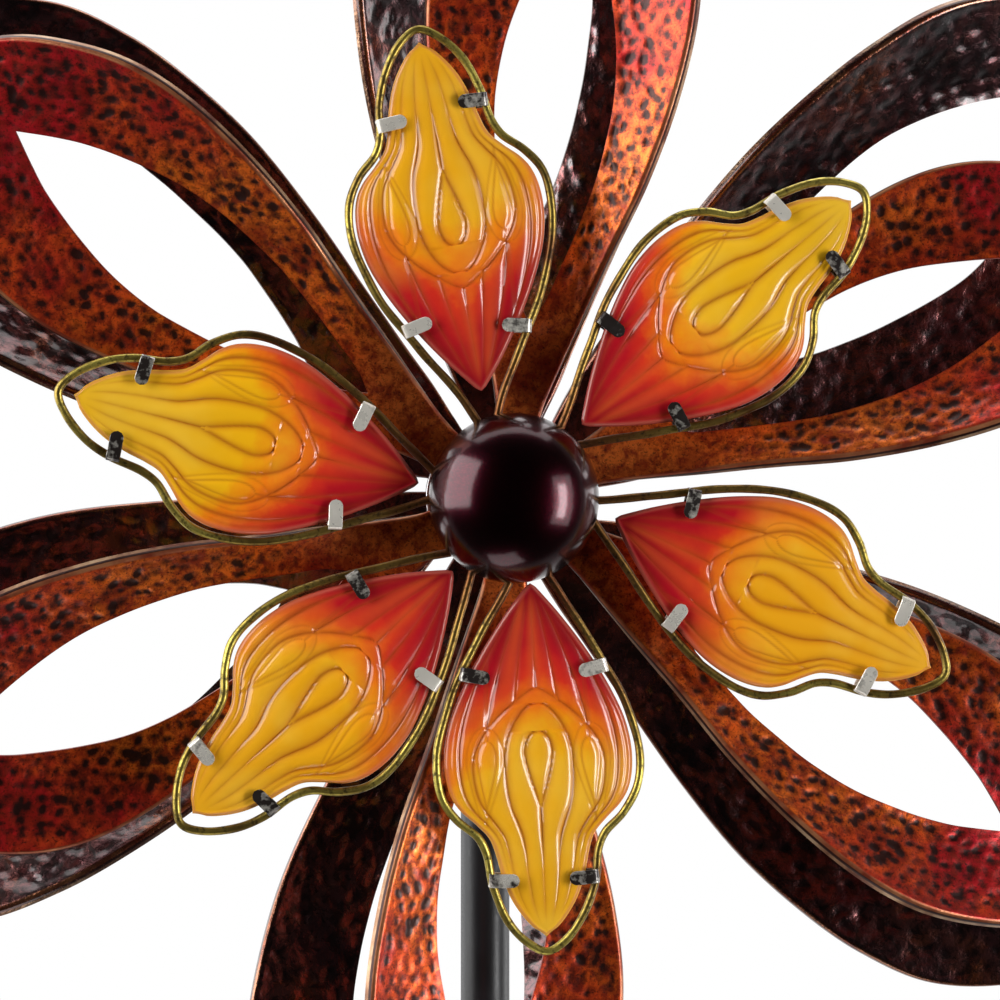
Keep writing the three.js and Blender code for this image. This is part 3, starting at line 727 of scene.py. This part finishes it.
# ---- petals ----
def teardrop(along, start, widest, end, half):
    """Half-width of a drop with a round end at start, its widest place, and a point at end."""
    head = np.sqrt(np.clip(1 - ((widest - along) / (widest - start)) ** 2, 0, 1))
    t = np.clip((along - widest) / (end - widest), 0, 1)
    return half * np.where(along < widest, head, (1 - t ** 1.4) ** 1.15)


def rise(along, top, length):
    """Parabola that comes up from 0 over a length and stays at 1 from top on."""
    return np.clip(1 - ((top - np.minimum(along, top)) / length) ** 2, 0, 1)


def petal_contours(along, half):
    """Half-widths of the moulded lines round the middle of a petal, from the innermost out."""
    drop = teardrop(along, 84, 92, 112, 5.0)
    flame = 0.36 * half * rise(along, 95, 21) ** 0.5
    leaf = 0.70 * half * rise(along, 97, 28.5) ** 0.8
    veins = [np.maximum(leaf, share * half) for share in (0.27, 0.56, 0.84, 1.0)]
    flame = np.maximum(flame, drop)
    return [drop, flame, np.maximum(leaf, flame), *[np.maximum(vein, flame) for vein in veins]]


def petal_relief(along, across, half):
    """Height of the moulded relief, and how much each point lies in one of its grooves: a narrow
    paint line in each groove, with a wider soft band of painted shade round it.
    """
    away = abs(across)
    height, groove = np.zeros_like(along), np.zeros_like(along)
    low = np.zeros_like(along)
    for high in petal_contours(along, half):
        width = high - low
        inside = (away >= low) & (away <= high) & (width > 1e-3)
        whole = (low <= 0) & (along > 68.5) & (along < 112)
        share = np.where(whole, (away + high) / (2 * np.maximum(high, 1e-3)),
                         (away - low) / np.maximum(width, 1e-3))
        span = np.where(whole, 2 * high, width)
        pillow = np.clip(4 * share * (1 - share), 0, 1) ** 0.8 * np.minimum(1.5, 0.22 * span)
        height = np.where(inside, pillow, height)
        near = np.minimum(np.where(whole, 99, away - low), high - away)
        # narrow part: paint in the groove line; wide part: painted shade round the groove
        mark = 0.7 * np.exp(-(near / 0.55) ** 2) + 0.3 * np.exp(-(near / 1.8) ** 2)
        groove = np.where(inside, np.maximum(groove, mark * smooth(span, 0.5, 2.5)), groove)
        low = high
    for middle, reach, depth in ((18.6, 3.3, 0.776), (19.4, 6.6, 0.512)):
        bent = away - middle - 0.05 * (along - 92)
        gap = teardrop(along, 92.5 - 1.6 * reach, 94, 104 + 2.4 * reach, reach) - abs(bent)
        height += 0.36 * smooth(gap, 0, 2.4) - 0.16 * np.exp(-(gap / 0.5) ** 2)
        groove = np.maximum(groove, depth * np.exp(-(gap / 0.42) ** 2))
    return height, np.clip(groove, 0, 1)


def glass_shape():
    """Grid of one petal's front and back in (along, across, f), with its attributes."""
    start, tip = GLASS_OUTLINE[0][0], GLASS_OUTLINE[-1][0]
    along = start + (tip - start) * np.linspace(0, 1, 256)
    half = value_at(GLASS_OUTLINE, along)
    ends = np.clip((tip - along) / 3, 0, 1) * np.clip((along - start) / 1.2, 0, 1)
    half = half * np.maximum(np.sqrt(ends), 0.05)
    turn = np.linspace(-1, 1, 141)
    share = (np.sin(turn * math.pi / 2) * 0.3 + turn * 0.7)[None, :]
    a = np.broadcast_to(along[:, None], (len(along), share.shape[1]))
    v = np.broadcast_to(share, a.shape)
    wide = np.broadcast_to(half[:, None], a.shape)
    b = wide * v
    thin = np.minimum(1, 0.25 + wide / 8)
    edge = wide * (1 - abs(v))
    swell = (1 - np.clip(1 - edge / 2.0, 0, 1) ** 2) ** 0.5
    crown = thin * (1.0 + 1.1 * smooth(edge, 0, 24))
    relief, groove = petal_relief(a, b, wide)
    fade = smooth(edge, 1.4, 4.0) * (0.35 + 0.65 * smooth(a, start + 20, start + 52))
    fade *= smooth(a, start, start + 14) * (1 - 0.55 * smooth(a, tip - 44, tip - 20))
    fade *= 1 - smooth(a, tip - 14, tip - 2)
    ridge = 0.30 * np.exp(-((edge - 1.4) / 0.8) ** 2)
    front = swell * (crown + ridge) + relief * fade
    fan = np.arctan2(b, a - start + 8)
    near_base = smooth(a, start, start + 12) * (1 - smooth(a, start + 22, start + 66))
    back = -swell * (GLASS_THICKNESS / 2 - 0.6) * thin * (0.7 + 0.3 * smooth(edge, 0, 10))
    return {
        "front": np.stack([a, b, front], axis=-1),
        "back": np.stack([a, b, back], axis=-1),
        "attributes": {
            "along": (a - start) / (tip - start),
            "across": v,
            # where the groove paint lines and the painted shade round them fall
            "groove": groove * fade,
            # where the painted shade in the relief's hollows falls
            "valley_shade": (1 - np.clip(relief / 1.3, 0, 1)) * fade,
            # where the painted highlight on the rounded edge falls
            "rim": np.exp(-((edge - 0.9) / 0.8) ** 2),
            # where the painted highlights of the radial ridges fall near the base
            "radial_highlight": (0.5 + 0.5 * np.sin(15 * fan + 2.2 * np.sin(7 * fan + 1))) * near_base,
        },
    }


def wire_shape(reach, rng):
    """Round wire bent round a petal, in (along, across, f)."""
    first, half = WIRE_OUTLINE[0]
    start = PETAL_HUB_RADIUS + WIRE_RADIUS - reach
    apart = min(max(half - WIRE_SPREAD * (first - start), WIRE_RADIUS + GAP), half)
    out = [[start, apart], *WIRE_OUTLINE]
    path = catmull_rom([*out, [WIRE_TIP, 0], *[[a, -b] for a, b in reversed(out)]], 300)
    normal = path_frame(path)
    travel = np.linspace(0, 1, len(path))
    wobble = 0.15 * np.sin(travel * 37 + rng.uniform(0, 6))
    wobble += 0.1 * np.sin(travel * 83 + rng.uniform(0, 6))
    path = path + normal * wobble[:, None]
    turn = np.linspace(0, 2 * math.pi, 14, endpoint=False)
    radius = WIRE_RADIUS * (1 + 0.03 * np.sin(travel * 140 + rng.uniform(0, 6)))[:, None]
    points = np.stack([
        path[:, :1] + normal[:, :1] * radius * np.cos(turn),
        path[:, 1:] + normal[:, 1:] * radius * np.cos(turn),
        radius * np.sin(turn),
    ], axis=-1)
    along = np.repeat(path[:, 0] / WIRE_TIP, len(turn))
    return points.reshape(-1, 3), tube_faces(len(path), len(turn)), along


def clip_shape(distance, side, tilt, rng):
    """Bent strip with round ends that holds the glass at front and back, in (along, across, f)."""
    thick, width, length, bend, bevel = (
        CLIP[key] for key in ("thickness", "width", "length", "bend", "bevel"))
    level = GLASS_THICKNESS / 2 + GAP + thick / 2
    centre_line = [(length, -level), (7.5, -level), (4.5, -level), (bend, -level)]
    for turn in np.radians([240, 210, 180]):
        centre_line.append((bend + bend * math.cos(turn), -level + bend + bend * math.sin(turn)))
    centre_line += [(0, -0.8), (0, 0.8)]
    for turn in np.radians([180, 150, 120]):
        centre_line.append((bend + bend * math.cos(turn), level - bend + bend * math.sin(turn)))
    bow, press = rng.uniform(0.0, 0.30), rng.uniform(-0.35, 0.45)
    centre_line += [(bend, level), (4.5, level + bow), (7.5, level + 0.5 * bow - 0.3 * press),
                    (length, level - press)]
    path = catmull_rom(centre_line, 64)
    normal = path_frame(path)
    travel = np.concatenate([[0], np.cumsum(np.linalg.norm(np.diff(path, axis=0), axis=1))])
    to_end = np.minimum(travel, travel[-1] - travel)
    nose = np.sqrt(np.clip(1 - (1 - np.minimum(to_end / (width / 2), 1)) ** 2, 0.002, 1))
    low, flank, face = -thick / 2, thick / 2 - bevel, 1 - 2 * bevel / width
    ring = [(-1, -flank), (-face, low), (0, low), (face, low), (1, -flank),
            (1, flank), (face, -low), (0, -low), (-face, -low), (-1, flank)]
    points = np.array([[(p[0] + n[0] * t, w * s * width / 2, p[1] + n[1] * t) for w, t in ring]
                       for p, n, s in zip(path, normal, nose)])
    inward, sideways, forward = points.reshape(-1, 3).T
    turn = math.radians(side * (tilt - 90))
    reach = np.interp(distance, *zip(*WIRE_OUTLINE)) + 0.7
    forward = forward + np.where(forward > level - 1, sideways * rng.uniform(-0.09, 0.09), 0)
    along = distance + inward * math.cos(turn) - sideways * math.sin(turn)
    across = side * reach + inward * math.sin(turn) + sideways * math.cos(turn)
    return np.stack([along, across, forward], axis=-1), tube_faces(len(path), len(ring))


def make_petals(glass, wire, clip_nickel):
    shape = glass_shape()
    rows, columns = shape["front"].shape[:2]
    size = rows * columns
    index = np.arange(size).reshape(rows, columns)
    edges = [wall(line, size) for line in (index[:, 0], index[:, -1], index[0], index[-1])]
    quads = np.vstack([grid_faces(rows, columns), grid_faces(rows, columns, size, flip=True), *edges])
    points = np.vstack([shape["front"].reshape(-1, 3), shape["back"].reshape(-1, 3)])
    attributes = {key: np.tile(np.ravel(values), 2) for key, values in shape["attributes"].items()}
    for number, petal in enumerate(PETALS, 1):
        rng = np.random.default_rng(PETAL_SEED + number)

        def placed(local):
            out = spun(local, petal["bearing"], petal["offset"], petal["reach"])
            out[..., 2] += PETAL_PLANE
            return from_axle(out)

        slid = points + [*petal.get("slip", (0, 0)), 0]
        attributes["amber"] = np.full(len(points), AMBER[number - 1])
        slab = make_object(f"glass_petal_{number}_moulded", placed(slid), quads, glass, attributes,
                           crease=60, weld=2e-5)
        attach(slab, "front_rotor", f"glass_petal_{number}")
        wire_points, wire_faces, along = wire_shape(petal["reach"], rng)
        frame_wire = make_object(f"petal_frame_{number}_wire", placed(wire_points), wire_faces, wire,
                                 {"along": along})
        attach(frame_wire, "front_rotor", f"petal_frame_{number}")
        strips = [clip_shape(distance, side, tilt, rng) for distance, side, tilt
                  in zip(petal["clips"], CLIP["sides"], CLIP["tilts"])]
        clip_points, clip_faces = combined(*strips)
        # share of each clip painted near-black as a dark reflection
        dark_reflection = np.repeat(rng.uniform(0, 1, len(strips)), [len(strip[0]) for strip in strips])
        tabs = make_object(f"petal_frame_{number}_tabs", placed(clip_points), clip_faces, clip_nickel,
                           {"dark_reflection": dark_reflection})
        attach(tabs, "front_rotor")


# ---- hubs, axle and stand ----
def stud_places(loop):
    for bearing in loop["bearings"]:
        for distance in STUD_DISTANCES:
            yield spun(np.array([distance, 0.0, 0.0]), bearing, loop["offset"])[:2]


def dome_profile():
    radius, height, back, sheet = (DOME[key] for key in ("radius", "height", "back", "wall"))
    turn = np.linspace(0, math.pi / 2, 40)
    outer, inner = ([[(radius - inset) * math.cos(t), back + (height - inset) * math.sin(t)]
                     for t in turn] for inset in (0, sheet))
    lip = [[radius - sheet + 0.4, back], [radius - 0.6, back], [radius - 0.15, back + 0.2]]
    outer[-1][0] = inner[-1][0] = 0
    return [*inner[::-1], *lip, *outer]


def hexagon(radius):
    return [(radius * math.cos(turn), radius * math.sin(turn))
            for turn in (math.radians(60 * k) for k in range(6))]


def chamfered_hex(radius, back, front):
    """Hexagon with both its faces turned down a little at the corners."""
    vertices, faces = [], []
    chamfer, inset = 0.6, 0.93
    for along, share in ((back, inset), (back + chamfer, 1), (front - chamfer, 1), (front, inset)):
        vertices += [(x * share, y * share, along) for x, y in hexagon(radius)]
    for level in range(3):
        low = 6 * level
        faces += [[low + k, low + (k + 1) % 6, low + 6 + (k + 1) % 6, low + 6 + k] for k in range(6)]
    faces += [list(range(6))[::-1], list(range(18, 24))]
    return np.array(vertices), faces


def axle_piece(node, body, material, slot, *shapes, place=from_axle, suffix="_turned", crease=35):
    vertices, faces = combined(*shapes)
    thing = make_object(node + suffix, place(vertices), faces, material, crease=crease)
    attach(thing, body, node)


def upright_piece(node, body, material, slot, *shapes, suffix="_turned"):
    """Like axle_piece, with the third axis up from the ground."""
    axle_piece(node, body, material, slot, *shapes, place=from_ground, suffix=suffix)


def bearing_profile(start):
    """Outline of a bearing: two rings with a shield set a little back between them."""
    end, inner, outer = start + BEARING["length"], BEARING["inner"], BEARING["outer"]
    low, high = start + BEARING["groove"], end - BEARING["groove"]
    return [[AXLE_BORE, start], [inner, start], [inner, low], [outer, low], [outer, start],
            [BEARING["rim"], start], [BEARING["rim"], end], [outer, end], [outer, high],
            [inner, high], [inner, end], [AXLE_BORE, end]]


def make_hub(loop, black, zinc):
    prefix, back = loop["prefix"], loop["hub"]
    body, front = f"{prefix}_rotor", back + HUB_LENGTH
    bore, barrel, edge, fillet = (HUB[key] for key in ("bore", "barrel", "plate", "fillet"))
    plate = front - HUB["plate_thickness"]
    hub = turned([[bore, back], [barrel, back], [barrel, plate - fillet], [barrel + fillet, plate],
                  [edge, plate], [edge, front], [bore, front]])
    axle_piece(f"{prefix}_hub", body, black, "black_steel", hub)
    clamp_back = front + 2 * GAP + SHEET
    clamp = turned(ring_profile(CLAMP["bore"], edge, clamp_back, clamp_back + CLAMP["thickness"]))
    wide, high = STUD["head"], STUD["head_height"]
    head = turned([[0, 0], [1.1, 0.06], [2.0, 0.38], [wide, high], [0, high]], 24, 0)
    shank = turned(rod_profile(STUD["radius"], plate - GAP - 0.1, clamp_back + 1), 24, 0)
    places = list(stud_places(loop))
    heads = [moved(head, x, y, plate - GAP - high) for x, y in places]
    shanks = [moved(shank, x, y) for x, y in places]
    axle_piece(f"{prefix}_loop_clamp", body, zinc, "zinc_steel", clamp, *heads, *shanks)
    for name, start in (("bearing_back", back + GAP),
                        ("bearing_front", front - GAP - BEARING["length"])):
        rings = turned(bearing_profile(start), edge=0.15)
        axle_piece(f"{prefix}_{name}", body, zinc, "zinc_steel", rings)


def make_front_centre(burgundy, black, zinc):
    dome = turned(dome_profile(), 160, 0)
    axle_piece("hub_dome", "front_rotor", burgundy, "dome", dome, crease=60)
    back = PETAL_HUB["back"]
    disc = turned(ring_profile(PETAL_HUB["bore"], PETAL_HUB_RADIUS, back, PETAL_HUB["front"]))
    axle_piece("petal_hub", "front_rotor", black, "black_steel", disc)
    post_back = FRONT_HUB + HUB_LENGTH + 3 * GAP + SHEET + CLAMP["thickness"]
    for number, bearing in enumerate(STANDOFF["bearings"], 1):
        x, y = spun(np.array([STANDOFF["distance"], 0.0, 0.0]), bearing)[:2]
        post = ring_profile(STANDOFF["bore"], STANDOFF["radius"], post_back, back - GAP)
        axle_piece(f"petal_hub_standoff_{number}", "front_rotor", zinc, "zinc_steel",
                   moved(turned(post, 40, 0.25), x, y))


def make_axle(black, zinc):
    head = chamfered_hex(7.4, -21.8, -16.3)
    shank = turned(rod_profile(4, -16.6, 122), 48, 0.6)
    axle_piece("axle_bolt", "stand", zinc, "zinc_steel", head, shank)
    for node, radius, back, front in (("rear_spacer", 7, 16.3, REAR_HUB),
                                      ("middle_spacer", 6, REAR_HUB + HUB_LENGTH, FRONT_HUB)):
        spacer = turned(ring_profile(AXLE_BORE, radius, back, front), 64)
        axle_piece(node, "stand", black, "black_steel", spacer)
    seat = FRONT_HUB + HUB_LENGTH
    washer = turned(ring_profile(AXLE_BORE, 7.2, seat, seat + 1.4), 64, 0.2)
    axle_piece("axle_washer", "stand", zinc, "zinc_steel", washer)


def make_poles(black):
    sheet, slim = POLE_RADIUS - POLE_BORE, POLE_BORE - GAP
    for name, bottom, top, necked in (("lower_pole", *POLE_JOINTS[:2], True),
                                      ("middle_pole", *POLE_JOINTS[1:3], True),
                                      ("upper_pole", *POLE_JOINTS[2:], False)):
        end = top - GAP
        neck = [[POLE_RADIUS, end - 3], [slim, end], [slim, end + NECK_LENGTH],
                [slim - sheet, end + NECK_LENGTH], [slim - sheet, end - 1], [POLE_BORE, end - 4]]
        plain = [[POLE_RADIUS, end], [POLE_BORE, end]]
        profile = [[POLE_BORE, bottom], [POLE_RADIUS, bottom], *(neck if necked else plain)]
        upright_piece(name, "stand", black, "black_steel", turned(profile, 96, 0.4))


def make_pole_head(black, zinc):
    sleeve = turned([[9.8, 1350], [12.5, 1350], [12.5, 1404], [11.4, 1408.5], [8, 1412], [0, 1414],
                     [0, 1388], [9.8, 1388]], 96, 0.8)
    boss_points, boss_faces = turned(ring_profile(AXLE_BORE, 10, -16, 16), 96, 0.8)
    boss = (from_axle(boss_points) * 1000, boss_faces)
    upright_piece("pole_head", "stand", black, "black_steel", sleeve, boss)
    points, faces = turned([[0, 9.8], [3, 9.8], [3, 15.1], [2.6, 15.5], [1.6, 15.5], [1.6, 14],
                            [0, 14]], 32, 0.1)
    points = np.stack([points[:, 0], points[:, 2], HEAD_SCREW_HEIGHT + points[:, 1]], axis=-1)
    upright_piece("pole_head_screw", "stand", zinc, "zinc_steel", (points, faces))


def make_fork(steel):
    length, width, corner = (STEP_BAR[key] for key in ("half_length", "half_width", "corner"))
    outline = []
    for sx, sy, first in ((1, 1, 0), (-1, 1, 90), (-1, -1, 180), (1, -1, 270)):
        for turn in np.radians(np.linspace(first, first + 90, 7)):
            outline.append((sx * length + corner * math.cos(turn),
                            sy * width + corner * math.sin(turn)))
    bar = prism(outline, 0, STEP_BAR["thickness"])
    prong = turned([[0, -200], [0.5, -199], [4, -170], [4, 4], [4, 6.2], [3.2, 7], [0, 7]], 40, 0.3)
    weld = turned([[3.4, -2.6], [4.6, -2.3], [6.6, -0.4], [6.6, 0.2], [3.4, 0.2]], 40, 0.4)
    prongs = [moved(shape, side * PRONG_OFFSET) for side in (-1, 1) for shape in (prong, weld)]
    spigot = turned(rod_profile(8.2, 4, 90), 64, 1.5)
    upright_piece("ground_fork", "stand", steel, "black_steel", bar, *prongs, spigot,
                  suffix="_welded")


# ---- stage ----
def make_stage():
    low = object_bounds()[0][2]
    bpy.ops.mesh.primitive_plane_add(size=14, location=(0, 0, low))
    floor = bpy.context.object
    floor.name = "floor"
    paint = flat_material("pale_floor", (0.70, 0.70, 0.69), 0.8)
    shader = paint.node_tree.nodes["Principled BSDF"].inputs
    shader["Emission Color"].default_value = (1, 1, 1, 1)
    shader["Emission Strength"].default_value = 0.4
    floor.data.materials.append(paint)
    floor.visible_glossy = False
    floor.visible_diffuse = False


def add_light(name, place, target, size, power):
    data = bpy.data.lights.new(name, "AREA")
    data.shape = "RECTANGLE"
    data.size, data.size_y = size
    data.energy = power
    lamp = bpy.data.objects.new(name, data)
    lamp.location = place
    lamp.rotation_euler = (Vector(target) - Vector(place)).to_track_quat("-Z", "Y").to_euler()
    lamp.visible_camera = False
    lamp.visible_glossy = place[1] < 2
    bpy.context.scene.collection.objects.link(lamp)


LIGHTS = [
    # name, place, (width, height) in metres, watts
    ("left_softbox", (-2.30, -0.75, 2.10), (2.3, 2.4), 114),
    ("left_wall", (-2.30, 1.10, 1.60), (2.2, 2.8), 40),
    ("right_strip", (1.85, -1.40, 1.30), (0.45, 1.3), 30),
    ("right_halo", (1.90, -1.35, 1.30), (1.1, 2.0), 20),
    ("right_softbox", (2.3, 0.75, 1.5), (1.2, 2.6), 34),
    ("top_softbox", (0.0, 0.5, 3.4), (2.8, 1.8), 40),
    ("low_fill", (-0.15, -0.35, 0.1), (0.7, 0.5), 2.5),
    ("back_softbox", (0.4, 3.0, 2.4), (2.6, 1.8), 40),
]


def make_lights():
    middle = (0, -0.1, 1.4)
    for name, place, size, power in LIGHTS:
        add_light(name, place, middle, size, power)


def make_world():
    """Room, dark in front and grey behind, that the camera sees as white."""
    world = bpy.data.worlds.new("studio")
    bpy.context.scene.world = world
    world.use_nodes = True
    tree, dark, grey_end = world.node_tree, -0.75, 0.55
    add, link = tree.nodes.new, tree.links.new
    direction = add("ShaderNodeTexCoord").outputs["Generated"]
    parts = add("ShaderNodeSeparateXYZ")
    link(direction, parts.inputs[0])
    depth = add("ShaderNodeMapRange")
    depth.inputs["From Min"].default_value = dark
    depth.inputs["From Max"].default_value = grey_end
    link(parts.outputs["Y"], depth.inputs["Value"])
    room = add("ShaderNodeValToRGB")
    stops = room.color_ramp.elements
    for element, (place, grey) in zip([stops[0], stops[1], stops.new(0.5)],
                                      [(0.0, 0.012), (1.0, 0.22), (0.5, 0.05)]):
        element.position = place
        element.color = (grey, grey, grey, 1)
    link(depth.outputs["Result"], room.inputs["Fac"])
    seen = add("ShaderNodeLightPath").outputs["Is Camera Ray"]
    mix = add("ShaderNodeMix")
    mix.data_type = "RGBA"
    link(seen, mix.inputs[0])
    link(room.outputs["Color"], mix.inputs[6])
    mix.inputs[7].default_value = (1, 1, 1, 1)
    link(mix.outputs[2], tree.nodes["Background"].inputs["Color"])


CAMERA = {"azimuth": -4.75, "distance": 1.6, "lens": 160, "target_f": 136.3,
          "shift": (-0.014, -0.002)}


def make_camera():
    turn = math.radians(CAMERA["azimuth"])
    target = Vector((0, -CAMERA["target_f"] / 1000, AXLE_HEIGHT / 1000))
    data = bpy.data.cameras.new("camera")
    data.lens = CAMERA["lens"]
    data.shift_x, data.shift_y = CAMERA["shift"]
    camera = bpy.data.objects.new("camera", data)
    camera.location = target + CAMERA["distance"] * Vector((math.sin(turn), -math.cos(turn), 0))
    camera.rotation_euler = (target - camera.location).to_track_quat("-Z", "Y").to_euler()
    bpy.context.scene.collection.objects.link(camera)
    bpy.context.scene.camera = camera


# ---- the sculpture ----
black = black_steel_material()
zinc = plated_material("zinc_plate", (0.58, 0.58, 0.60), 0.28, 0.15)

make_camera()
make_loops(REAR_LOOP, rear_loop_material())
make_loops(FRONT_LOOP, front_loop_material())
make_petals(glass_material(), wire_material(), clip_material())
make_hub(REAR_LOOP, black, zinc)
make_hub(FRONT_LOOP, black, zinc)
make_front_centre(dome_material(), black, zinc)
make_axle(black, zinc)
make_poles(black)
make_pole_head(black, zinc)
make_fork(soil_steel_material())
for node in ("axle_locknut", "dome_screw", *[f"petal_hub_screw_{k}" for k in (1, 2, 3)]):
    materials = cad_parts[node].data.materials
    materials.clear()
    materials.append(zinc)
make_stage()
make_lights()
make_world()
bpy.context.scene.view_settings.view_transform = "Standard"
